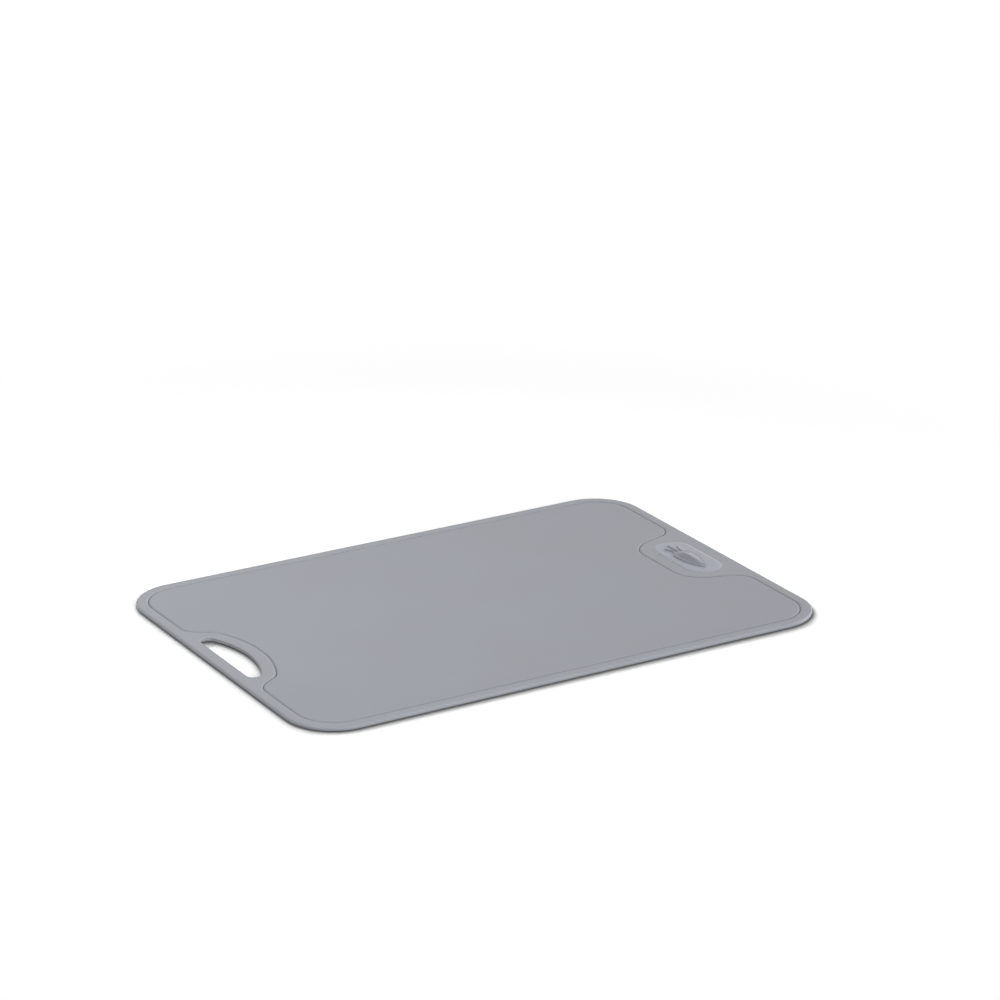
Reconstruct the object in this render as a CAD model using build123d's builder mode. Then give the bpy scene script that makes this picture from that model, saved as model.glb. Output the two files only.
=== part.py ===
from build123d import *
from math import cos, radians, sin, tan
import os

# A flexible cutting mat, in millimetres. The origin is the middle of the sole.
# X runs along the mat from the hand hole to the badge, Y to the back and Z up.

# Outline and thickness of the whole mat
mat_length = 350.0
mat_width = 246.0
mat_thickness = 2.6
corner_radius = 31.0
top_edge_radius = 1.1
sole_edge_radius = 0.9

# Seam between the firm panel and the soft rim: both edges are rounded, which leaves a groove
rim_width = 7.2
seam_edge_radius = 1.0
seam_return_radius = 14.0
panel_lift = 0.2

# Tongue of the panel inside the rim, and the holes that the rim's pins fill
tongue_reach = 4.0
tongue_thickness = 0.6
tongue_cover = 0.3
key_diameter = 2.0
key_pitch = 20.0

# Hand hole: a straight side along the end of the mat and a bowed side towards the panel
hole_band = 8.3
hole_length = 67.0
hole_width = 15.9
hole_end_width = 7.5
hole_straight_corner_share = 0.52
hole_bow_corner_share = 0.66
hole_flare_angle = 30.0

# Badge plate, the band of rim round it and its seat in the rim
badge_length = 56.0
badge_width = 26.0
badge_corner_share = 0.46
badge_edge_gap = 9.5
badge_thickness = 1.4
badge_rise = 0.4
badge_bevel = 1.0
badge_band = 7.9
badge_flare_angle = 17.0
badge_clearance = 0.1

# Emblem on the badge: a carrot made of a flat step and a crowned back, and three leaf strokes
emblem_end_margin = 6.65
emblem_side_margin = 6.0
emblem_clearance = 0.1
carrot_length_share = 0.715
carrot_shoulder_share = 0.72
carrot_crest_share = 0.62
carrot_shoulder_radius_share = 0.44
carrot_tip_radius = 1.3
carrot_step_rise = 0.6
carrot_step_width = 1.9
carrot_crown_rise = 1.3
leaf_width = 1.8
leaf_gap = 1.2
leaf_side_share = 0.73
leaf_fan_angle = 16.0
leaf_foot_gap = 0.85
leaf_rise = 0.8
leaf_edge_radius = 0.5

# Web that joins the carrot and its leaves under the badge plate
web_thickness = 0.6
web_margin = 1.6
web_corner_radius = 5.0

# Heights above the sole
tongue_top = mat_thickness - seam_edge_radius - tongue_cover
tongue_bottom = tongue_top - tongue_thickness
badge_top = mat_thickness + badge_rise
badge_bottom = badge_top - badge_thickness
web_bottom = badge_bottom - web_thickness

# Places and sizes in the plan
seam_half_length = mat_length / 2 - rim_width
hole_straight_x = hole_band - mat_length / 2
hole_apex_x = hole_straight_x + hole_width
badge_x = mat_length / 2 - badge_edge_gap - badge_width / 2
emblem_length = badge_length - 2 * emblem_end_margin
carrot_width = badge_width - 2 * emblem_side_margin
carrot_length = emblem_length * carrot_length_share
leaf_length = emblem_length - carrot_length - leaf_gap
leaf_fan_radius = (leaf_width + leaf_foot_gap) / (2 * sin(radians(leaf_fan_angle / 2)))


def arc_radius(chord, rise):
    """Radius of an arc that stands this far proud of its chord."""
    return (chord**2 / 4 + rise**2) / (2 * rise)


def flare_points(corner, radius, angle, seam_x):
    """Wedge from the seam's straight side to where it touches a lobe's rounded corner and its mirror."""
    side = 1 if seam_x < corner.X else -1
    touch_x = corner.X + side * radius * sin(radians(angle))
    touch_y = corner.Y + radius * cos(radians(angle))
    foot_y = touch_y + abs(seam_x - touch_x) * tan(radians(angle))
    return [(touch_x, touch_y), (seam_x, foot_y), (seam_x, -foot_y), (touch_x, -touch_y)]


# Outline of the hand hole
bow_corner_radius = hole_end_width * hole_bow_corner_share
with BuildSketch() as hole_outline:
    with BuildLine():
        bow_end = (hole_straight_x + hole_end_width, hole_length / 2)
        bow_start = (bow_end[0], -bow_end[1])
        ThreePointArc(bow_start, (hole_apex_x, 0), bow_end)
        Polyline(bow_end, (hole_straight_x, bow_end[1]), (hole_straight_x, bow_start[1]), bow_start)
    make_face()
    fillet(hole_outline.vertices().group_by(Axis.X)[0], hole_end_width * hole_straight_corner_share)
    fillet(hole_outline.vertices().group_by(Axis.X)[-1], bow_corner_radius)

# Ground that the seam keeps clear round the hand hole
bow_radius = arc_radius(hole_length, hole_width - hole_end_width)
bow_corner_y = hole_length / 2 - bow_corner_radius
bow_corner_reach = ((bow_radius - bow_corner_radius) ** 2 - bow_corner_y**2) ** 0.5
bow_corner = Vector(hole_apex_x - bow_radius + bow_corner_reach, bow_corner_y)
with BuildSketch() as hole_lobe:
    add(hole_outline.sketch)
    offset(amount=hole_band)
    with BuildLine():
        touch_radius = bow_corner_radius + hole_band
        Polyline(*flare_points(bow_corner, touch_radius, hole_flare_angle, -seam_half_length), close=True)
    make_face()

# Outline of the badge plate, and the ground that the seam keeps clear round it
badge_corner_radius = badge_width * badge_corner_share
badge_corner = Vector(
    badge_x - badge_width / 2 + badge_corner_radius,
    badge_length / 2 - badge_corner_radius,
)
with BuildSketch() as badge_outline:
    with Locations((badge_x, 0)):
        RectangleRounded(badge_width, badge_length, badge_corner_radius)
with BuildSketch() as badge_lobe:
    add(badge_outline.sketch)
    offset(amount=badge_band)
    with BuildLine():
        touch_radius = badge_corner_radius + badge_band
        Polyline(*flare_points(badge_corner, touch_radius, badge_flare_angle, seam_half_length), close=True)
    make_face()

# Outline of the seam: a rounded rectangle that gives way to both lobes
with BuildSketch() as seam_outline:
    RectangleRounded(2 * seam_half_length, mat_width - 2 * rim_width, corner_radius - rim_width)
    add(hole_lobe.sketch, mode=Mode.SUBTRACT)
    add(badge_lobe.sketch, mode=Mode.SUBTRACT)
    for end in (0, -1):
        end_corners = seam_outline.vertices().group_by(Axis.X)[end]
        fillet(end_corners.sort_by(Axis.Y)[1:-1], seam_return_radius)

# Firm panel that is cut on, with its keyed tongue
with BuildPart() as cutting_panel:
    with BuildSketch(Plane.XY.offset(panel_lift)):
        add(seam_outline.sketch)
    extrude(amount=mat_thickness - panel_lift)
    fillet(cutting_panel.faces().sort_by(Axis.Z)[-1].edges(), seam_edge_radius)
    with BuildSketch(Plane.XY.offset(tongue_bottom)):
        add(seam_outline.sketch)
        offset(amount=tongue_reach)
    extrude(amount=tongue_thickness)
    with BuildSketch(mode=Mode.PRIVATE) as key_line:
        add(seam_outline.sketch)
        offset(amount=tongue_reach / 2)
    key_wire = key_line.face().outer_wire()
    key_count = round(key_wire.length / key_pitch)
    with BuildSketch(Plane.XY.offset(tongue_bottom)):
        with Locations(*[key_wire @ (key / key_count) for key in range(key_count)]):
            Circle(key_diameter / 2)
    extrude(amount=tongue_thickness, mode=Mode.SUBTRACT)
cutting_panel.part.label = "cutting_panel"

# Middle of each flank's arc, and the strokes that fan out about a point inside the root
shoulder_y = carrot_length * carrot_shoulder_share
flank_radius = arc_radius(2 * shoulder_y, carrot_width / 2)
flank_x = flank_radius - carrot_width / 2
leaf_strokes = (
    (-leaf_fan_angle, leaf_length * leaf_side_share),
    (0, leaf_length),
    (leaf_fan_angle, leaf_length * leaf_side_share),
)


def emblem_outline(grow):
    """Carrot's root, with its tip near the origin and its crown along +Y, and its leaves, all grown alike."""
    side_x = carrot_width / 2 + grow
    crown_y = carrot_length + grow
    tip_y = shoulder_y - ((flank_radius + grow) ** 2 - flank_x**2) ** 0.5
    with BuildSketch(mode=Mode.PRIVATE) as root:
        with BuildLine():
            TangentArc((side_x, shoulder_y), (0, tip_y), tangent=(0, -1))
            TangentArc((-side_x, shoulder_y), (0, tip_y), tangent=(0, -1))
            Polyline((-side_x, shoulder_y), (-side_x, crown_y), (side_x, crown_y), (side_x, shoulder_y))
        make_face()
        shoulder_radius = carrot_width * carrot_shoulder_radius_share
        fillet(root.vertices().group_by(Axis.Y)[-1], shoulder_radius + grow)
        fillet(root.vertices().group_by(Axis.Y)[0], carrot_tip_radius + grow)
    with BuildSketch(mode=Mode.PRIVATE) as leaves:
        for lean, length in leaf_strokes:
            reach = leaf_fan_radius + length / 2
            fan_y = carrot_length + leaf_gap - leaf_fan_radius
            place = (reach * sin(radians(lean)), fan_y + reach * cos(radians(lean)))
            with Locations(Location(place, -lean)):
                SlotOverall(length + 2 * grow, leaf_width + 2 * grow, rotation=90)
    return root.sketch, leaves.sketch


root_outline, leaf_outline = emblem_outline(0)
root_window, leaf_window = emblem_outline(emblem_clearance)

# Crowned back of the carrot: a body turned about an axis sunk so deep that only its back shows
crown_half_width = carrot_width / 2 - carrot_step_width
crown_axis_depth = arc_radius(2 * crown_half_width, carrot_crown_rise) - carrot_crown_rise
with BuildPart() as carrot_back:
    with BuildSketch(Plane.YZ):
        with BuildLine():
            crown_tip = (2 * carrot_step_width, 0)
            crown_end = (carrot_length - carrot_step_width, 0)
            crest = (carrot_length * carrot_crest_share, carrot_crown_rise)
            TangentArc(crest, crown_tip, tangent=(-1, 0))
            TangentArc(crest, crown_end, tangent=(1, 0))
            axis_tip = (crown_tip[0], -crown_axis_depth)
            axis_end = (crown_end[0], -crown_axis_depth)
            Polyline(crown_tip, axis_tip, axis_end, crown_end)
        make_face()
    revolve(axis=Axis((0, 0, -crown_axis_depth), (0, 1, 0)))
    split(bisect_by=Plane.XY)

# Raised carrot and leaves on one web, which lies under the badge plate
emblem_tip_y = -emblem_length / 2
with BuildPart() as vegetable_emblem:
    with BuildSketch(Plane((badge_x, 0, web_bottom))):
        web_width = carrot_width + 2 * web_margin
        web_length = emblem_length + 2 * web_margin
        RectangleRounded(web_width, web_length, web_corner_radius)
    extrude(amount=web_thickness)
    with BuildSketch(Plane((badge_x, emblem_tip_y, badge_bottom))):
        add(leaf_outline)
    extrude(amount=badge_thickness + leaf_rise)
    fillet(vegetable_emblem.faces().group_by(Axis.Z)[-1].edges(), leaf_edge_radius)
    with BuildSketch(Plane((badge_x, emblem_tip_y, badge_bottom))):
        add(root_outline)
    extrude(amount=badge_thickness + carrot_step_rise)
    with Locations((badge_x, emblem_tip_y, badge_top + carrot_step_rise)):
        add(carrot_back.part)
vegetable_emblem.part.label = "vegetable_emblem"

# Badge plate with windows for the carrot and its leaves
with BuildPart() as badge_plate:
    with BuildSketch(Plane.XY.offset(badge_bottom)):
        add(badge_outline.sketch)
        offset(amount=-badge_clearance)
    extrude(amount=badge_thickness)
    badge_face = badge_plate.faces().sort_by(Axis.Z)[-1]
    chamfer(badge_face.edges(), badge_rise, badge_bevel, reference=badge_face)
    with BuildSketch(Plane((badge_x, emblem_tip_y, badge_bottom))):
        add(root_window)
        add(leaf_window)
    extrude(amount=badge_thickness, mode=Mode.SUBTRACT)
badge_plate.part.label = "badge_plate"

# Soft rim, moulded round the panel's tongue, with the hand hole and the seat of the badge
with BuildPart() as soft_rim:
    with BuildSketch():
        RectangleRounded(mat_length, mat_width, corner_radius)
        add(hole_outline.sketch, mode=Mode.SUBTRACT)
    extrude(amount=mat_thickness)
    fillet(soft_rim.faces().sort_by(Axis.Z)[-1].edges(), top_edge_radius)
    fillet(soft_rim.faces().sort_by(Axis.Z)[0].edges(), sole_edge_radius)
    with BuildSketch():
        add(seam_outline.sketch)
    extrude(amount=mat_thickness, mode=Mode.SUBTRACT)
    rim_face = soft_rim.faces().sort_by(Axis.Z)[-1]
    fillet(rim_face.inner_wires().sort_by(SortBy.LENGTH)[-1].edges(), seam_edge_radius)
    add(cutting_panel.part, mode=Mode.SUBTRACT)
    with BuildSketch(Plane.XY.offset(badge_bottom)):
        add(badge_outline.sketch)
    extrude(amount=badge_thickness, mode=Mode.SUBTRACT)
    with BuildSketch(Plane((badge_x, 0, web_bottom))):
        RectangleRounded(web_width, web_length, web_corner_radius)
        offset(amount=emblem_clearance)
    extrude(amount=web_thickness, mode=Mode.SUBTRACT)
soft_rim.part.label = "soft_rim"

os.makedirs("parts", exist_ok=True)
for piece in (cutting_panel, soft_rim, badge_plate, vegetable_emblem):
    export_step(piece.part, f"parts/{piece.part.label}.step")
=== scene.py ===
from math import asin, atan2, cos, pi, radians, sin, sqrt, tan

import bmesh
import bpy
import numpy as np
from mathutils import Euler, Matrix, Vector
from mathutils.geometry import delaunay_2d_cdt


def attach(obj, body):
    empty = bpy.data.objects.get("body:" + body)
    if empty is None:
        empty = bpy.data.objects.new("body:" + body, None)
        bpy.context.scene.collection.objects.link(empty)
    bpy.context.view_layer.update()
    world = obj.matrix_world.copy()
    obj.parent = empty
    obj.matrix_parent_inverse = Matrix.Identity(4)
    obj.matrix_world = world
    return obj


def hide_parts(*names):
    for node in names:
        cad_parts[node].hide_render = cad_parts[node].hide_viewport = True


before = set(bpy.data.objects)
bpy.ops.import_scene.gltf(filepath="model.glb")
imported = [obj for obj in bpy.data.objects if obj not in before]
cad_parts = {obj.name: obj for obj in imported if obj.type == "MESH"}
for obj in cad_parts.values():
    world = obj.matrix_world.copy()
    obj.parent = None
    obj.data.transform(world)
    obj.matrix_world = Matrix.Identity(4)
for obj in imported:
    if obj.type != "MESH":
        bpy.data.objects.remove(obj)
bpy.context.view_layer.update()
print("frame loaded, nodes:", sorted(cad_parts))

mm = 0.001  # the mat's own sizes are in millimetres, as in the part's source, and the studio's are in metres
quarter = pi / 2
roundSteps = 8  # facets across each rounded edge
sameSpot = 1e-6  # places closer than this are one
weld = 0.002  # bands and fills of a piece are merged where their points lie this close
sliver = 0.0005  # an edge shorter than this is dissolved


def traceArcs(arcs, turn=3.0, stride=4.0):
    # Outline of arcs (x, y, radius, from, to in radians) joined by straight runs, walked anticlockwise.
    # A point is centre + radius * (cos a, sin a), and between two arcs it moves evenly along the run.
    # Returns the points and the outward normals. An arc that turns clockwise has its normal inwards.
    # There is a point at least every turn degrees of an arc and every stride millimetres of a run.
    points, normals = [], []
    arcs = [np.array(arc, float) for arc in arcs]
    for arc, following in zip(arcs, arcs[1:] + arcs[:1]):
        x, y, radius, start, end = arc
        count = max(2, int(abs(end - start) / radians(turn)) + 2)
        angles = np.linspace(start, end, count)
        rays = np.stack([np.cos(angles), np.sin(angles)], 1)
        points.append((x, y) + radius * rays)
        normals.append(rays if end > start else -rays)
        first = following[:2] + following[2] * np.array([cos(following[3]), sin(following[3])])
        run = first - points[-1][-1]
        length = np.hypot(*run)
        if length < sameSpot:  # the next arc starts here, so this end is left to it
            points[-1] = points[-1][:-1]
            normals[-1] = normals[-1][:-1]
            continue
        share = np.linspace(0, 1, int(length / stride) + 2)[1:-1, None]
        points.append(points[-1][-1] + share * run)
        normals.append(np.repeat(normals[-1][-1:], len(share), 0))
    return np.concatenate(points), np.concatenate(normals)


def roundedBox(centreX, length, width, radius):
    # Arcs of a rounded rectangle, anticlockwise from its lower right corner.
    a = length / 2 - radius
    b = width / 2 - radius
    corners = ((a, -b, -1), (a, b, 0), (-a, b, 1), (-a, -b, 2))
    return [(centreX + x, y, radius, k * quarter, (k + 1) * quarter) for x, y, k in corners]


def quarterRound(inset, height, radius, start, end, reach=None):
    # Profile of a rounded edge: (inset, height) + (-reach * cos a, radius * sin a), a from start to end.
    # The reach is the radius, unless the edge is a quarter of an ellipse. A negative one faces the other way.
    angles = np.linspace(start, end, roundSteps + 1)
    reach = radius if reach is None else reach
    return np.stack([inset - reach * np.cos(angles), height + radius * np.sin(angles)], 1)


def ringOf(outline, inset):
    # The outline moved inwards: point - normal * inset.
    return outline[0] - outline[1] * inset


def carryProfile(outline, profile):
    # Band: point(u, v) = outline(u) - normal(u) * inset(v), raised to height(v), for the whole grid at once.
    points, normals = outline
    ground = points[None] - normals[None] * profile[:, None, :1]
    heights = np.broadcast_to(profile[:, None, 1:], ground.shape[:2] + (1,))
    grid = np.concatenate([ground, heights], 2)
    rows, columns = grid.shape[:2]
    index = np.arange(rows * columns).reshape(rows, columns)
    around = np.roll(index, -1, 1)
    faces = np.stack([index[:-1], around[:-1], around[1:], index[1:]], 2)
    return grid.reshape(-1, 3), faces.reshape(-1, 4)


def insideLoops(places, loops):
    # Even-odd rule: a place is inside if a ray along +X crosses the loops an odd number of times.
    start = np.concatenate(loops)
    end = np.concatenate([np.roll(loop, -1, 0) for loop in loops])
    x, y = places[:, :1], places[:, 1:]
    straddles = (start[:, 1] > y) != (end[:, 1] > y)
    rise = np.where(start[:, 1] == end[:, 1], 1.0, end[:, 1] - start[:, 1])
    crossing = start[:, 0] + (y - start[:, 1]) * (end[:, 0] - start[:, 0]) / rise
    return (straddles & (x < crossing)).sum(1) % 2 == 1


def fillGround(loops, height, lattice=None, keepOff=0.6):
    # Flat face between closed loops, as a constrained Delaunay mesh of their points. Where a lattice spacing
    # is given, the points of a square lattice are added, so that the face can follow the swells. They keep
    # off the loops by a share of the spacing.
    ring = np.concatenate(loops)
    firsts = np.cumsum([0] + [len(loop) for loop in loops])
    spans = [np.arange(a, b) for a, b in zip(firsts[:-1], firsts[1:])]
    edges = np.concatenate([np.stack([span, np.roll(span, -1)], 1) for span in spans])
    if lattice:
        low, high = ring.min(0), ring.max(0)
        across = np.arange(low[0] + lattice / 2, high[0], lattice)
        along = np.arange(low[1] + lattice / 2, high[1], lattice)
        spots = np.stack(np.meshgrid(across, along), 2).reshape(-1, 2)
        spots = spots[insideLoops(spots, loops)]
        nearest = np.hypot(*(spots[:, None] - ring[None]).transpose(2, 0, 1)).min(1)
        ring = np.concatenate([ring, spots[nearest > keepOff * lattice]])
    made = delaunay_2d_cdt(ring.tolist(), edges.tolist(), [], 0, sameSpot)
    places = np.array([tuple(place) for place in made[0]])
    triangles = np.array(made[2])
    triangles = triangles[insideLoops(places[triangles].mean(1), loops)]
    return np.column_stack([places, np.full(len(places), height)]), triangles


def sheetSwell(points):
    # Lie of a flexible sheet: height + swell * weight * sum of strength * sin(x / runX + y / runY + phase),
    # where the weight grows from 0 at the sole to 1 at the face.
    x, y, z = points.T
    waves = sum(strength * np.sin(x / runX + y / runY + phase) for strength, runX, runY, phase in swellWaves)
    weight = np.clip(z / mat["thickness"], 0, 1)
    return np.column_stack([x, y, z + mat["swell"] * waves * weight])


def makePiece(name, parts, material, nodes, sharp=38):
    # One closed shell from its bands and fills: their shared rings are merged, and it is put on the frame.
    # Edges that turn by more than sharp degrees are shaded as sharp ones.
    points, faces, first = [], [], 0
    for partPoints, partFaces in parts:
        points.append(partPoints)
        faces += (partFaces + first).tolist()
        first += len(partPoints)
    shell = bmesh.new()
    loose = bpy.data.meshes.new(name)
    loose.from_pydata((sheetSwell(np.concatenate(points)) * mm).tolist(), [], faces)
    shell.from_mesh(loose)
    bmesh.ops.remove_doubles(shell, verts=shell.verts, dist=weld * mm)
    bmesh.ops.dissolve_degenerate(shell, edges=shell.edges, dist=sliver * mm)
    bmesh.ops.recalc_face_normals(shell, faces=shell.faces)
    openEdges = sum(not edge.is_manifold for edge in shell.edges)
    shell.to_mesh(loose)
    shell.free()
    loose.shade_smooth()
    loose.set_sharp_from_angle(angle=radians(sharp))
    loose.materials.append(material)
    piece = bpy.data.objects.new(name, loose)
    bpy.context.scene.collection.objects.link(piece)
    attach(piece, "root")
    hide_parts(*nodes)
    loose.calc_loop_triangles()
    print(f"{name}: {len(loose.loop_triangles)} triangles, {openEdges} open edges")


def hexColour(text):
    # sRGB hex to linear: v / 12.92 below 0.04045, else ((v + 0.055) / 1.055) ** 2.4
    values = np.array([int(text[k:k + 2], 16) / 255 for k in (0, 2, 4)])
    linear = np.where(values <= 0.04045, values / 12.92, ((values + 0.055) / 1.055) ** 2.4)
    return (*linear.tolist(), 1.0)


def addNode(tree, kind, settings=None, links=None):
    # Adds a node, sets its options or its inputs by name or number, and links sockets into its inputs.
    # A Map Range reads input 0, from the range in inputs 1 and 2 to the range in 3 and 4. A Mix of colours
    # goes from input 6 to input 7 and comes out at output 2.
    node = tree.nodes.new(kind)
    for key, value in (settings or {}).items():
        if isinstance(key, str) and hasattr(node, key):
            setattr(node, key, value)
        else:
            node.inputs[key].default_value = value
    for key, socket in (links or {}).items():
        tree.links.new(socket, node.inputs[key])
    return node


def newMaterial(name):
    material = bpy.data.materials.new(name)
    material.use_nodes = True
    material.node_tree.nodes.clear()
    return material, material.node_tree


# Noise in every plastic: how many finer layers it has, and the range that nearly all of its values lie in.
drifting = {"detail": 3.0, "low": 0.3, "high": 0.7}
graining = {"detail": 2.0, "low": 0.25, "high": 0.75}


def mouldedPlastic(name, look):
    # Colour drifts between two close greys with a fine speckle on it, gloss drifts in the same broad patches,
    # and the tool's grain is a bump.
    material, tree = newMaterial(name)
    smoothest, roughest = look["roughness"]
    place = addNode(tree, "ShaderNodeTexCoord").outputs["Object"]
    drift = addNode(tree, "ShaderNodeTexNoise", {
        "Scale": 1 / (look["patch"] * mm), "Detail": drifting["detail"],
    }, {"Vector": place}).outputs["Fac"]
    grain = addNode(tree, "ShaderNodeTexNoise", {
        "Scale": 1 / (look["grain"] * mm), "Detail": graining["detail"],
    }, {"Vector": place}).outputs["Fac"]
    tone = addNode(tree, "ShaderNodeMapRange", {1: drifting["low"], 2: drifting["high"]}, {0: drift})
    speck = addNode(tree, "ShaderNodeMapRange", {
        1: graining["low"], 2: graining["high"], 3: -look["speckle"], 4: look["speckle"],
    }, {0: grain})
    blend = addNode(tree, "ShaderNodeMath", {"operation": "ADD", "use_clamp": True},
                    {0: tone.outputs[0], 1: speck.outputs[0]})
    colour = addNode(tree, "ShaderNodeMix", {
        "data_type": "RGBA", 6: hexColour(look["dark"]), 7: hexColour(look["light"]),
    }, {0: blend.outputs[0]})
    gloss = addNode(tree, "ShaderNodeMapRange", {
        1: drifting["low"], 2: drifting["high"], 3: smoothest, 4: roughest,
    }, {0: drift})
    bump = addNode(tree, "ShaderNodeBump", {"Strength": look["bump"], "Distance": look["bumpDepth"] * mm},
                   {"Height": grain})
    shader = addNode(tree, "ShaderNodeBsdfPrincipled", {"IOR": look["ior"]}, {
        "Base Color": colour.outputs[2], "Roughness": gloss.outputs[0], "Normal": bump.outputs[0],
    })
    addNode(tree, "ShaderNodeOutputMaterial", links={"Surface": shader.outputs[0]})
    return material


# In each look patch, grain and bumpDepth are millimetres.
# Polypropylene moulded against spark-eroded steel: a firm, even satin grey with a barely seen grain.
# The real grain is near 0.15 mm, too fine to show, so it is drawn 0.8 mm wide.
panelLook = {
    "dark": "85888f", "light": "898c94", "patch": 60.0, "grain": 0.8, "speckle": 0.25,
    "roughness": (0.35, 0.40), "bump": 0.12, "bumpDepth": 0.05, "ior": 1.49,
}
# Styrene elastomer moulded over the panel: as grey as the panel, and smooth where the mould rounds it off.
rimLook = {
    "dark": "86898f", "light": "8a8d94", "patch": 40.0, "grain": 0.7, "speckle": 0.2,
    "roughness": (0.34, 0.38), "bump": 0.08, "bumpDepth": 0.05, "ior": 1.50,
}
# ABS moulded in a polished pocket: the badge takes a tighter shine than what is round it, and its grey is
# drawn paler as painted sheen.
badgeLook = {
    "dark": "8e929c", "light": "9295a0", "patch": 30.0, "grain": 1.0, "speckle": 0.1,
    "roughness": (0.26, 0.30), "bump": 0.04, "bumpDepth": 0.05, "ior": 1.54,
}
# ABS of the emblem, from the same polished pocket: smooth, so that its crown shows one crescent of light.
# Its grey is darker than the badge's, as painted shade that deepens the carrot's dark body.
emblemLook = {
    "dark": "767982", "light": "797c85", "patch": 20.0, "grain": 1.0, "speckle": 0.1,
    "roughness": (0.19, 0.22), "bump": 0.03, "bumpDepth": 0.05, "ior": 1.54,
}
panelMaterial = mouldedPlastic("moulded_polypropylene_satin", panelLook)
rimMaterial = mouldedPlastic("moulded_elastomer_dull", rimLook)
badgeMaterial = mouldedPlastic("moulded_abs_polished", badgeLook)
emblemMaterial = mouldedPlastic("moulded_abs_emblem", emblemLook)
print("materials made")

# Whole mat. A sheet that bends never lies dead flat: swell is the height of a wave of strength 1, and the
# three waves together move the face by up to 0.05 mm. lattice is the spacing of the points that follow it,
# and support is the width of a flat strip beside each rounded edge, which keeps the face's shading flat.
mat = {
    "length": 350.0, "width": 246.0, "thickness": 2.6, "cornerRadius": 31.0,
    "topRound": 1.1, "soleRound": 0.9, "swell": 0.02, "lattice": 5.0, "support": 0.35,
}
# Waves of the swell: strength, the millimetres of x and of y that turn the wave by one radian, and phase.
swellWaves = [(1.0, 31, 57, 0), (0.8, -90, 27, 1.3), (0.6, 17, 23, 4.0)]
# Groove between the panel and the rim: both its edges are rounded, and lipped a little wider than they are
# deep. Below them a crack stays open, and the panel's sole is lifted off the table.
seam = {"rimWidth": 7.2, "round": 1.0, "lip": 1.35, "returnRadius": 14.0, "panelLift": 0.2, "crack": 0.02}
# Hand hole: a straight side towards the end of the mat and a bowed side towards the panel. Its top edge is
# crisper than the outline's, and a bead runs round its wall where the two halves of the mould meet.
handHole = {
    "band": 8.3, "length": 67.0, "width": 15.9, "endWidth": 7.5,
    "straightCorner": 3.9, "bowCorner": 4.95, "flare": radians(30), "topReach": 0.4, "topRound": 0.45,
    "bead": {"top": 1.5, "height": 1.35, "low": 1.25, "proud": 0.2}, "turn": 2.0, "stride": 2.0,
}
# Badge plate and the band of rim round it. lipDrop is how far its edge lies below the mat's face where the
# bevel starts, ease rounds both edges of the bevel, as on any moulding, and windowGap is what stays open
# round the emblem, as its material fills the windows.
badge = {
    "length": 56.0, "width": 26.0, "corner": 11.96, "edgeGap": 9.5, "thickness": 1.4, "rise": 0.4,
    "bevel": 2.0, "band": 7.9, "flare": radians(17), "clearance": 0.04, "lipDrop": 0.02, "ease": 0.25,
    "windowGap": 0.005, "stride": 2.0,
}
badgeX = mat["length"] / 2 - badge["edgeGap"] - badge["width"] / 2
badgeTop = mat["thickness"] + badge["rise"]
badgeBottom = badgeTop - badge["thickness"]

# Hand hole: its bow is an arc through both ends and the apex, eased into them by two corner arcs.
straightX = handHole["band"] - mat["length"] / 2
apexX = straightX + handHole["width"]
bowRise = handHole["width"] - handHole["endWidth"]
bowRadius = (handHole["length"] ** 2 / 4 + bowRise**2) / (2 * bowRise)
bowX = apexX - bowRadius
bowCornerY = handHole["length"] / 2 - handHole["bowCorner"]
bowAngle = asin(bowCornerY / (bowRadius - handHole["bowCorner"]))
bowCornerX = bowX + (bowRadius - handHole["bowCorner"]) * cos(bowAngle)
straightCornerX = straightX + handHole["straightCorner"]
straightCornerY = handHole["length"] / 2 - handHole["straightCorner"]
holeArcs = [
    (bowX, 0, bowRadius, -bowAngle, bowAngle),
    (bowCornerX, bowCornerY, handHole["bowCorner"], bowAngle, quarter),
    (straightCornerX, straightCornerY, handHole["straightCorner"], quarter, 2 * quarter),
    (straightCornerX, -straightCornerY, handHole["straightCorner"], 2 * quarter, 3 * quarter),
    (bowCornerX, -bowCornerY, handHole["bowCorner"], -quarter, -bowAngle),
]


def flareReturn(cornerX, cornerY, radius, flare):
    # Height of the arc that leads from the seam's side into a lobe: above the foot of the flare, which leaves
    # the lobe's corner arc along its tangent, by the arc's tangent length.
    side = 1 if cornerX < 0 else -1
    touchX = cornerX + side * radius * sin(flare)
    touchY = cornerY + radius * cos(flare)
    footY = touchY + abs(seamHalf + side * touchX) * tan(flare)
    return footY + seam["returnRadius"] * tan((quarter - flare) / 2)


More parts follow.
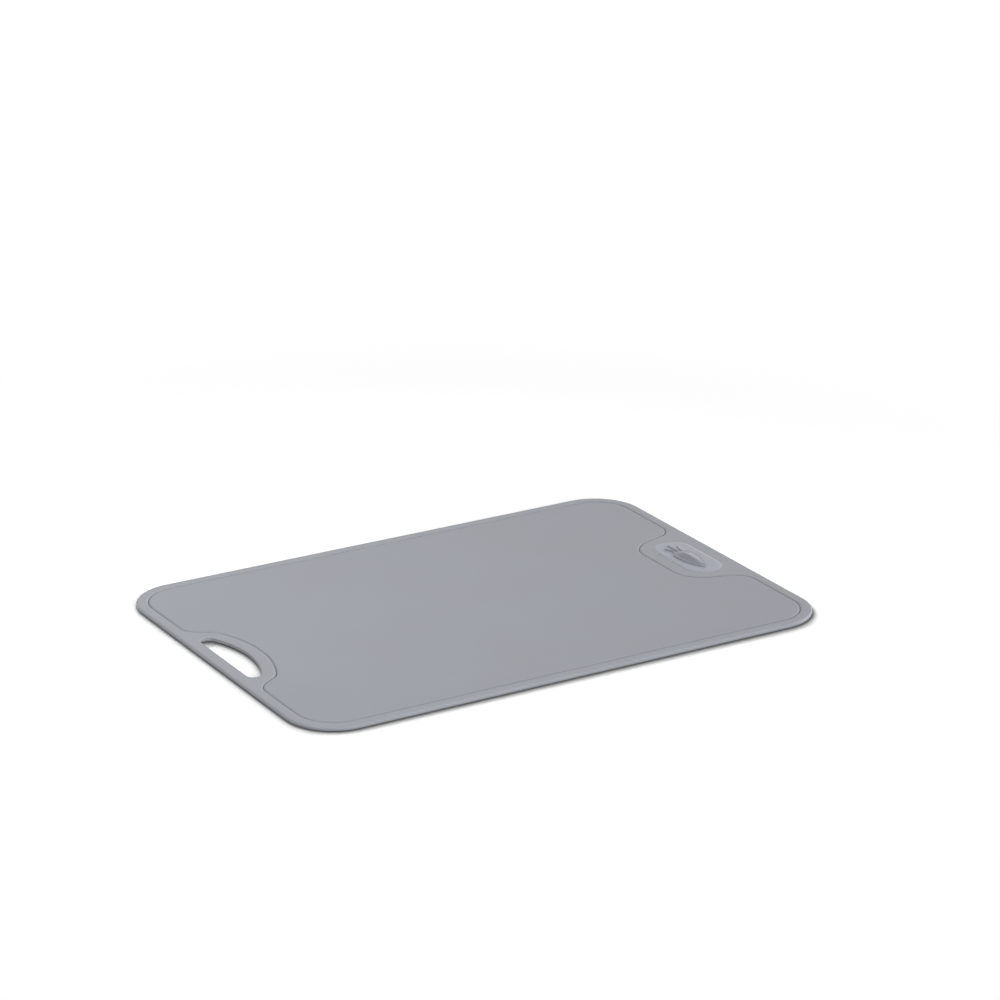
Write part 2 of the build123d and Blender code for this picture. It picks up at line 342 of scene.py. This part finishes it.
# Seam: a rounded rectangle that gives way to a lobe round the hand hole and another round the badge.
seamHalf = mat["length"] / 2 - seam["rimWidth"]
seamCorner = mat["cornerRadius"] - seam["rimWidth"]
seamCornerX = seamHalf - seamCorner
seamCornerY = mat["width"] / 2 - mat["cornerRadius"]
returnX = seamHalf - seam["returnRadius"]
badgeCornerX = badgeX - badge["width"] / 2 + badge["corner"]
badgeCornerY = badge["length"] / 2 - badge["corner"]
badgeLobe = badge["corner"] + badge["band"]
badgeReturnY = flareReturn(badgeCornerX, badgeCornerY, badgeLobe, badge["flare"])
holeLobe = handHole["bowCorner"] + handHole["band"]
holeReturnY = flareReturn(bowCornerX, bowCornerY, holeLobe, handHole["flare"])
badgeTurn = quarter - badge["flare"]
holeTurn = quarter - handHole["flare"]
seamArcs = [
    (seamCornerX, -seamCornerY, seamCorner, -quarter, 0),
    (returnX, -badgeReturnY, seam["returnRadius"], 0, badgeTurn),
    (badgeCornerX, -badgeCornerY, badgeLobe, 2 * quarter + badgeTurn, 2 * quarter),
    (badgeCornerX, badgeCornerY, badgeLobe, 2 * quarter, 2 * quarter - badgeTurn),
    (returnX, badgeReturnY, seam["returnRadius"], -badgeTurn, 0),
    (seamCornerX, seamCornerY, seamCorner, 0, quarter),
    (-seamCornerX, seamCornerY, seamCorner, quarter, 2 * quarter),
    (-returnX, holeReturnY, seam["returnRadius"], 2 * quarter, 2 * quarter + holeTurn),
    (bowCornerX, bowCornerY, holeLobe, holeTurn, bowAngle),
    (bowX, 0, bowRadius + handHole["band"], bowAngle, -bowAngle),
    (bowCornerX, -bowCornerY, holeLobe, -bowAngle, -holeTurn),
    (-returnX, -holeReturnY, seam["returnRadius"], 2 * quarter - holeTurn, 2 * quarter),
    (-seamCornerX, -seamCornerY, seamCorner, 2 * quarter, 3 * quarter),
]

matOutline = traceArcs(roundedBox(0, mat["length"], mat["width"], mat["cornerRadius"]))
seamOutline = traceArcs(seamArcs)
holePoints, holeNormals = traceArcs(holeArcs, turn=handHole["turn"], stride=handHole["stride"])
holeOutline = (holePoints, -holeNormals)  # turned round, because the rim is outside it
badgeArcs = roundedBox(badgeX, badge["width"], badge["length"], badge["corner"])
badgeOutline = traceArcs(badgeArcs, stride=badge["stride"])
print("outlines traced")

# Profiles of the rim, as insets from their outline and heights
top = mat["thickness"]
support = mat["support"]
soleEdge = np.concatenate([
    [(mat["soleRound"] + support, 0)],
    quarterRound(mat["soleRound"], mat["soleRound"], mat["soleRound"], -quarter, 0),
])
edgeProfile = np.concatenate([
    soleEdge,
    quarterRound(mat["topRound"], top - mat["topRound"], mat["topRound"], 0, quarter),
    [(mat["topRound"] + support, top)],
])
rimSeamProfile = np.concatenate([
    [(-seam["lip"] - support, top)],
    quarterRound(-seam["lip"], top - seam["round"], seam["round"], quarter, 0, -seam["lip"]),
    [(0, 0), (-support, 0)],
])
seatProfile = np.array([(-support, top), (0, top), (0, badgeBottom)])
bead = handHole["bead"]
holeReach, holeRound = handHole["topReach"], handHole["topRound"]
holeProfile = np.concatenate([
    soleEdge,
    [(0, bead["low"]), (-bead["proud"], bead["height"]), (0, bead["top"])],
    quarterRound(holeReach, top - holeRound, holeRound, 0, quarter, holeReach),
    [(holeReach + support, top)],
])

rimParts = [
    carryProfile(matOutline, edgeProfile),
    carryProfile(holeOutline, holeProfile),
    carryProfile(seamOutline, rimSeamProfile),
    carryProfile(badgeOutline, seatProfile),
    fillGround([
        ringOf(matOutline, mat["topRound"] + support), ringOf(holeOutline, holeReach + support),
        ringOf(seamOutline, -seam["lip"] - support), ringOf(badgeOutline, -support),
    ], top),
    fillGround([
        ringOf(matOutline, mat["soleRound"] + support), ringOf(holeOutline, mat["soleRound"] + support),
        ringOf(seamOutline, -support),
    ], 0),
    fillGround([badgeOutline[0]], badgeBottom),
]
makePiece("rim_shell", rimParts, rimMaterial, ["soft_rim"])

panelProfile = np.concatenate([
    [(seam["crack"] + support, seam["panelLift"]), (seam["crack"], seam["panelLift"])],
    quarterRound(seam["lip"], top - seam["round"], seam["round"], 0, quarter, seam["lip"] - seam["crack"]),
    [(seam["lip"] + support, top)],
])
panelParts = [
    carryProfile(seamOutline, panelProfile),
    fillGround([ringOf(seamOutline, seam["lip"] + support)], top, mat["lattice"]),
    fillGround([ringOf(seamOutline, seam["crack"] + support)], seam["panelLift"]),
]
makePiece("panel_shell", panelParts, panelMaterial, ["cutting_panel"])

# Carrot: a flat step with the root's outline and a crowned back. Its length is from tip to head. The crown
# keeps stepWidth from the step's sides, tipGap from the tip and headGap from the head. ridgeShift moves its
# ridge to +X, and ridgeSharp is how far its flanks go from arcs to straight ones.
carrot = {
    "width": 14.0, "length": 30.5305, "shoulder": 21.982, "shoulderRound": 6.16, "tipRound": 1.3,
    "step": 0.6, "stepWidth": 2.3, "crest": 20.5, "crownRise": 1.3, "emblemLength": 42.7,
    "edgeRun": 0.3, "edgeEase": 0.04, "tipGap": 4.2, "headGap": 1.6, "ridgeShift": 0.1, "ridgeSharp": 0.75,
    "turn": 4.0, "stride": 0.8,
}
# Leaves: three strokes that fan out from a point inside the root. fall is how far a back drops for each
# millimetre across it. The stride is longer than a leaf, so that a straight side has no points between its
# ends, because the fill is worked out in single precision and many points on one slanting line can break it.
leaves = {
    "width": 1.8, "gap": 1.2, "sideShare": 0.73, "fanRadius": 9.5205, "fan": radians(16), "rise": 0.4,
    "fall": 0.3, "edgeRun": 0.25, "turn": 9.0, "stride": 20.0,
}

emblemY = -carrot["emblemLength"] / 2
flankRadius = (carrot["shoulder"] ** 2 + carrot["width"] ** 2 / 4) / carrot["width"]
flankX = flankRadius - carrot["width"] / 2
leafLength = carrot["emblemLength"] - carrot["length"] - leaves["gap"]
leafStrokes = [
    (-leaves["fan"], leafLength * leaves["sideShare"]),
    (0, leafLength),
    (leaves["fan"], leafLength * leaves["sideShare"]),
]
stepTop = badgeTop + carrot["step"]
leafTop = badgeTop + leaves["rise"]
crownHalf = carrot["width"] / 2 - carrot["stepWidth"]
crownDepth = (crownHalf**2 - carrot["crownRise"] ** 2) / (2 * carrot["crownRise"])


def carrotOutline(grow):
    # Tip, right flank, both shoulders and left flank. The flanks are arcs that end upright at the shoulders.
    tip = carrot["tipRound"] + grow
    drop = sqrt((flankRadius - carrot["tipRound"]) ** 2 - flankX**2)
    tipY = carrot["shoulder"] - drop
    lean = atan2(drop, flankX)
    side = carrot["width"] / 2 - carrot["shoulderRound"]
    high = carrot["length"] - carrot["shoulderRound"]
    shoulder = carrot["shoulderRound"] + grow
    arcs = [
        (0, tipY, tip, 2 * quarter + lean, 4 * quarter - lean),
        (-flankX, carrot["shoulder"], flankRadius + grow, -lean, 0),
        (side, high, shoulder, 0, quarter),
        (-side, high, shoulder, quarter, 2 * quarter),
        (flankX, carrot["shoulder"], flankRadius + grow, 2 * quarter, 2 * quarter + lean),
    ]
    placed = [(badgeX + x, emblemY + y, radius, start, end) for x, y, radius, start, end in arcs]
    return traceArcs(placed, turn=carrot["turn"], stride=carrot["stride"])


def leafOutline(lean, length, grow):
    # Stroke with two half-round ends, along the ray that leans this far from +Y.
    reach = leaves["fanRadius"] + length / 2
    fanY = emblemY + carrot["length"] + leaves["gap"] - leaves["fanRadius"]
    half = (length - leaves["width"]) / 2
    radius = leaves["width"] / 2 + grow
    along = quarter - lean
    far, near = reach + half, reach - half
    arcs = [
        (badgeX + far * sin(lean), fanY + far * cos(lean), radius, along - quarter, along + quarter),
        (badgeX + near * sin(lean), fanY + near * cos(lean), radius, along + quarter, along + 3 * quarter),
    ]
    return traceArcs(arcs, turn=leaves["turn"], stride=leaves["stride"])


def reliefWall(run, height):
    # Wall of the step or of a leaf: upright inside the plate, then leaning in by run, with its edge eased.
    ease = carrot["edgeEase"]
    return np.array([(0, badgeBottom), (0, badgeTop), (run - ease, height - ease), (run, height)])


def crownBack(rows=60, columns=37):
    # Body turned about an axis sunk below the step: at length t its radius is depth + rise(t), where rise(t)
    # is one arc from the tip to the crest and another from there to the head, and only what is above the
    # step is kept: point = (radius sin a, t, radius cos a - depth) for a between -limit and +limit, where
    # cos limit = depth / radius. Then the back gets its ridge: x moves by shift * (1 - |share|), share being
    # a / limit, and the height turns by a part of itself from the arc's into that of two straight flanks,
    # rise * (1 - |share|). Also returns the ring of the crown's foot.
    low, high = carrot["tipGap"], carrot["length"] - carrot["headGap"]
    even = np.linspace(0, pi, rows)
    t = low + (high - low) * (1 - np.cos(even)) / 2
    span = np.where(t < carrot["crest"], carrot["crest"] - low, high - carrot["crest"])
    arc = (span**2 + carrot["crownRise"] ** 2) / (2 * carrot["crownRise"])
    rise = np.maximum(carrot["crownRise"] - arc + np.sqrt(arc**2 - (t - carrot["crest"]) ** 2), 0)
    radius = crownDepth + rise
    limit = np.arccos(np.minimum(crownDepth / radius, 1))
    share = np.linspace(-1, 1, columns)[None]
    angle = limit[:, None] * share
    shift = carrot["ridgeShift"] * rise[:, None] / carrot["crownRise"]
    x = badgeX + radius[:, None] * np.sin(angle) + shift * (1 - np.abs(share))
    flanks = rise[:, None] * (1 - np.abs(share))
    z = stepTop + radius[:, None] * np.cos(angle) - crownDepth
    z += carrot["ridgeSharp"] * (stepTop + flanks - z)
    grid = np.stack([x, np.broadcast_to(emblemY + t[:, None], x.shape), z], 2)
    grid[:, (0, -1), 2] = stepTop
    index = np.arange(rows * columns).reshape(rows, columns)
    faces = np.stack([index[:-1, :-1], index[:-1, 1:], index[1:, 1:], index[1:, :-1]], 2)
    foot = np.concatenate([grid[:, -1, :2], grid[-2:0:-1, 0, :2]])
    return grid.reshape(-1, 3), faces.reshape(-1, 4), foot


def slopeAway(part, outline, lean):
    # The back of a stroke falls to its right: z - fall * across * weight, where across is the distance from
    # the stroke's axis, x cos(lean) - y sin(lean), and the weight grows from 0 at the plate to 1 at the top.
    points, faces = part
    offset = points[:, :2] - outline[0].mean(0)
    across = offset[:, 0] * cos(lean) - offset[:, 1] * sin(lean)
    weight = np.clip((points[:, 2] - badgeTop) / leaves["rise"], 0, 1)
    return np.column_stack([points[:, :2], points[:, 2] - leaves["fall"] * across * weight]), faces


crownPoints, crownFaces, crownFoot = crownBack()
stepOutline = carrotOutline(0)
carrotParts = [
    carryProfile(stepOutline, reliefWall(carrot["edgeRun"], stepTop)),
    fillGround([ringOf(stepOutline, carrot["edgeRun"]), crownFoot], stepTop),
    fillGround([stepOutline[0]], badgeBottom),
    (crownPoints, crownFaces),
]
makePiece("carrot_relief", carrotParts, emblemMaterial, ["vegetable_emblem"], sharp=30)

leafWall = reliefWall(leaves["edgeRun"], leafTop)
leafParts = []
for lean, length in leafStrokes:
    stroke = leafOutline(lean, length, 0)
    leafParts.append(slopeAway(carryProfile(stroke, leafWall), stroke, lean))
    leafParts.append(slopeAway(fillGround([ringOf(stroke, leaves["edgeRun"])], leafTop), stroke, lean))
    leafParts.append(fillGround([stroke[0]], badgeBottom))
makePiece("leaf_relief", leafParts, emblemMaterial, ["vegetable_emblem"], sharp=50)

# Badge plate: its bevel starts at the mat's face and ends inwards of the seam, and an eased edge takes up
# an eighth of its width in height.
gap, ease = badge["clearance"], badge["ease"]
bevelEnd = gap + badge["bevel"]
easeRise = ease / 8
plateProfile = np.array([
    (gap, badgeBottom), (gap, top - badge["lipDrop"]), (gap + ease, top + easeRise),
    (bevelEnd - ease, badgeTop - easeRise), (bevelEnd + ease, badgeTop),
    (bevelEnd + ease + support, badgeTop),
])
windows = [carrotOutline(badge["windowGap"])]
windows += [leafOutline(lean, length, badge["windowGap"]) for lean, length in leafStrokes]
windowRings = [window[0] for window in windows]
windowProfile = np.array([(0, badgeBottom), (0, badgeTop)])
plateParts = [
    carryProfile(badgeOutline, plateProfile),
    fillGround([ringOf(badgeOutline, plateProfile[-1, 0])] + windowRings, badgeTop),
    fillGround([ringOf(badgeOutline, gap)] + windowRings, badgeBottom),
]
plateParts += [carryProfile(window, windowProfile) for window in windows]
makePiece("badge_shell", plateParts, badgeMaterial, ["badge_plate"], sharp=30)

# White table and its light. Within nearRadius of the middle the table is a plain diffuse white that takes the
# shadow, and by farRadius it has turned to the white of the background. To the eye and to shine, the table's
# colour is floorGain and the world is 1. To all other light they are floorColour and fill.
# The contact shadow is painted into the table's colour. Its depth is how much of a leaning half-sphere over
# each point of the table the mat fills, within contactReach millimetres. The half-sphere leans to the back,
# so that the painted shadow is widest in front of the mat.
studio = {
    "floorColour": "ebebeb", "floorGain": 1.18, "nearRadius": 0.30, "farRadius": 0.55, "floorSize": 12.0,
    "contactReach": 9.0, "contactLean": (0.18, 0.92, 0.35), "contactStart": 0.53, "contactEnd": 0.93,
    "contactPower": 2.1, "contactFloor": 0.14, "contactSamples": 8, "fill": 0.015,
}
# Softboxes: degrees from +X towards +Y and above the table, distance and width in metres, and watts.
lamps = {
    "softbox_front": (270, 12, 4.0, 1.6, 118.0),
    "softbox_front_left": (245, 12, 4.0, 1.6, 34.0),
    "softbox_front_right": (315, 12, 4.0, 1.6, 36.0),
    "softbox_right": (0, 12, 4.0, 1.6, 141.0),
    "softbox_right_high": (0, 50, 2.2, 1.2, 6.4),
    "softbox_back_left_high": (150, 60, 0.8, 0.45, 2.4),
    "softbox_left_high": (180, 60, 0.8, 0.45, 1.75),
}


def seenDirectly(tree):
    # 1 for a ray of the eye, of shine or through glass, else 0
    path = addNode(tree, "ShaderNodeLightPath")
    shine = addNode(tree, "ShaderNodeMath", {"operation": "MAXIMUM"},
                    {0: path.outputs["Is Camera Ray"], 1: path.outputs["Is Glossy Ray"]})
    return addNode(tree, "ShaderNodeMath", {"operation": "MAXIMUM"},
                   {0: shine.outputs[0], 1: path.outputs["Is Transmission Ray"]}).outputs[0]


def whiteWorld():
    world = bpy.data.worlds.new("studio_world")
    world.use_nodes = True
    tree = world.node_tree
    tree.nodes.clear()
    level = addNode(tree, "ShaderNodeMapRange", {3: studio["fill"], 4: 1.0}, {0: seenDirectly(tree)})
    backdrop = addNode(tree, "ShaderNodeBackground", {"Color": (1, 1, 1, 1)}, {"Strength": level.outputs[0]})
    addNode(tree, "ShaderNodeOutputWorld", links={"Surface": backdrop.outputs[0]})
    return world


def whiteLaminate():
    # Melamine-faced board, drawn without its faint shine, so that it takes a clean shadow.
    # A contact shadow is also painted into its colour.
    material, tree = newMaterial("white_table_laminate")
    place = addNode(tree, "ShaderNodeTexCoord").outputs["Object"]
    fromMiddle = addNode(tree, "ShaderNodeVectorMath", {"operation": "LENGTH"}, {0: place})
    far = addNode(tree, "ShaderNodeMapRange", {
        "interpolation_type": "SMOOTHSTEP", 1: studio["nearRadius"], 2: studio["farRadius"],
    }, {0: fromMiddle.outputs["Value"]})
    seen = seenDirectly(tree)
    farSeen = addNode(tree, "ShaderNodeMath", {"operation": "MULTIPLY"}, {0: far.outputs[0], 1: seen})
    # Painted shadow: the occlusion below darkens the table's colour next to the mat.
    lean = addNode(tree, "ShaderNodeCombineXYZ", dict(zip("XYZ", studio["contactLean"])))
    nearness = addNode(tree, "ShaderNodeAmbientOcclusion", {
        "samples": studio["contactSamples"], "Distance": studio["contactReach"] * mm,
    }, {"Normal": lean.outputs[0]})
    clear = addNode(tree, "ShaderNodeMapRange", {
        "interpolation_type": "SMOOTHSTEP", 1: studio["contactStart"], 2: studio["contactEnd"],
    }, {0: nearness.outputs["AO"]})
    fade = addNode(tree, "ShaderNodeMath", {"operation": "POWER", 1: studio["contactPower"]},
                   {0: clear.outputs[0]})
    shade = addNode(tree, "ShaderNodeMapRange", {3: studio["contactFloor"], 4: 1.0}, {0: fade.outputs[0]})
    level = addNode(tree, "ShaderNodeMapRange", {
        3: hexColour(studio["floorColour"])[0], 4: studio["floorGain"],
    }, {0: seen})
    paint = addNode(tree, "ShaderNodeMath", {"operation": "MULTIPLY"},
                    {0: shade.outputs[0], 1: level.outputs[0]})
    matte = addNode(tree, "ShaderNodeBsdfDiffuse", links={"Color": paint.outputs[0]})
    white = addNode(tree, "ShaderNodeEmission", {"Strength": 1.0})
    whole = addNode(tree, "ShaderNodeMixShader", links={
        0: farSeen.outputs[0], 1: matte.outputs[0], 2: white.outputs[0],
    })
    addNode(tree, "ShaderNodeOutputMaterial", links={"Surface": whole.outputs[0]})
    return material


bpy.context.scene.world = whiteWorld()
half = studio["floorSize"] / 2
floorMesh = bpy.data.meshes.new("studio_floor")
floorCorners = [(-half, -half, 0), (half, -half, 0), (half, half, 0), (-half, half, 0)]
floorMesh.from_pydata(floorCorners, [], [(0, 1, 2, 3)])
floorMesh.materials.append(whiteLaminate())
floor = bpy.data.objects.new("studio_floor", floorMesh)
bpy.context.scene.collection.objects.link(floor)

for name, (turn, rise, distance, size, power) in lamps.items():
    across = cos(radians(rise))
    direction = Vector((across * cos(radians(turn)), across * sin(radians(turn)), sin(radians(rise))))
    lampData = bpy.data.lights.new(name, "AREA")
    lampData.shape = "DISK"
    lampData.size = size
    lampData.energy = power
    lamp = bpy.data.objects.new(name, lampData)
    lamp.location = direction * distance
    lamp.rotation_euler = direction.to_track_quat("Z", "Y").to_euler()
    lamp.visible_camera = False
    lamp.visible_glossy = False  # a low lamp's mirror image would burn the face out from the far side
    bpy.context.scene.collection.objects.link(lamp)

# Camera fitted to the outline of the mat in the photograph. Place, near and far are metres, pitch and yaw
# are degrees, and lens and sensor are millimetres. Its lens is long, and its frame is square.
view = {
    "place": (-1.0491, -1.7976, 0.8331), "pitch": 20.168, "yaw": 30.704, "lens": 135.06, "sensor": 36.0,
    "near": 0.1, "far": 50.0,
}
cameraData = bpy.data.cameras.new("photo_camera")
cameraData.sensor_width = view["sensor"]
cameraData.lens = view["lens"]
cameraData.clip_start = view["near"]
cameraData.clip_end = view["far"]
camera = bpy.data.objects.new("photo_camera", cameraData)
camera.location = view["place"]
camera.rotation_euler = Euler((radians(90 - view["pitch"]), 0, -radians(view["yaw"])))
bpy.context.scene.collection.objects.link(camera)
bpy.context.scene.camera = camera
bpy.context.scene.view_settings.view_transform = "Standard"
print("floor, light and camera made")
